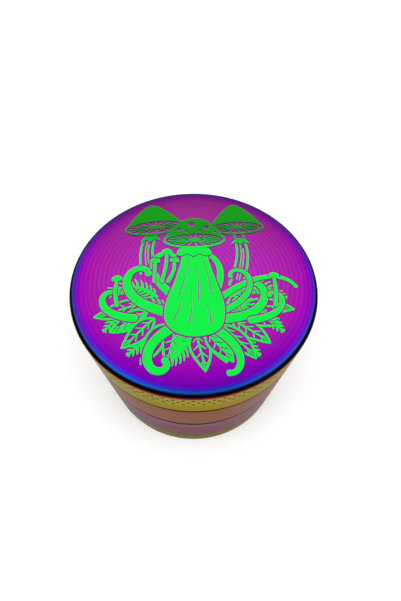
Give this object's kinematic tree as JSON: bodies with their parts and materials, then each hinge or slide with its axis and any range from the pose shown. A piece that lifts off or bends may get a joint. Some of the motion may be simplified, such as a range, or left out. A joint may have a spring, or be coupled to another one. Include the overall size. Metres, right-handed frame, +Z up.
{
  "type": "spice grinder",
  "caption": "Round stacking hand grinder for herbs and spices: a toothed lid turns in a toothed plate, over a screened chamber and a catch cup that screw together.",
  "frame": {"origin": "centre of the foot, on the surface that the grinder stands on", "axes": "+Z up along the axis of turning"},
  "size_m": [0.063, 0.063, 0.05],
  "materials": {
    "lid_coating": "satin",
    "plate_coating": "satin",
    "chamber_coating": "satin",
    "cup_coating": "satin",
    "nylon": "matte",
    "magnet_nickel": "polished",
    "screen_steel": "satin",
    "enamel": "gloss"
  },
  "bodies": {
    "catch_cup": {"catch_cup": "cup_coating"},
    "screen": {"mesh_screen": "screen_steel", "screen_ring": "screen_steel"},
    "chamber": {"screen_chamber": "chamber_coating"},
    "plate_magnet": {"plate_magnet": "magnet_nickel"},
    "plate": {"tooth_plate": "plate_coating"},
    "glide_ring": {"glide_ring": "nylon"},
    "lid": {"lid": "lid_coating", "lid_magnet": "magnet_nickel"}
  },
  "joints": [
    {"name": "chamber_advance", "type": "slide", "parent": "catch_cup", "child": "screen", "axis": [0, 0, 1], "range_m": [0, 0.00601]},
    {"name": "chamber_unscrew", "type": "hinge", "parent": "screen", "child": "chamber", "pos_m": [0, 0, 0.0084], "axis": [0, 0, 1], "range_deg": [0, 1080]},
    {"name": "plate_advance", "type": "slide", "parent": "chamber", "child": "plate_magnet", "axis": [0, 0, 1], "range_m": [0, 0.00601]},
    {"name": "plate_unscrew", "type": "hinge", "parent": "plate_magnet", "child": "plate", "pos_m": [0, 0, 0.0242], "axis": [0, 0, 1], "range_deg": [0, 1080]},
    {"name": "lid_lift", "type": "slide", "parent": "plate", "child": "glide_ring", "axis": [0, 0, 1], "range_m": [0, 0.03]},
    {"name": "lid_spin", "type": "hinge", "parent": "glide_ring", "child": "lid", "pos_m": [0, 0, 0.0385], "axis": [0, 0, 1], "continuous": true}
  ],
  "couplings": [
    {"joint": "chamber_advance", "follows": "chamber_unscrew", "m_per_rad": 0.00031831},
    {"joint": "plate_advance", "follows": "plate_unscrew", "m_per_rad": 0.00031831}
  ]
}
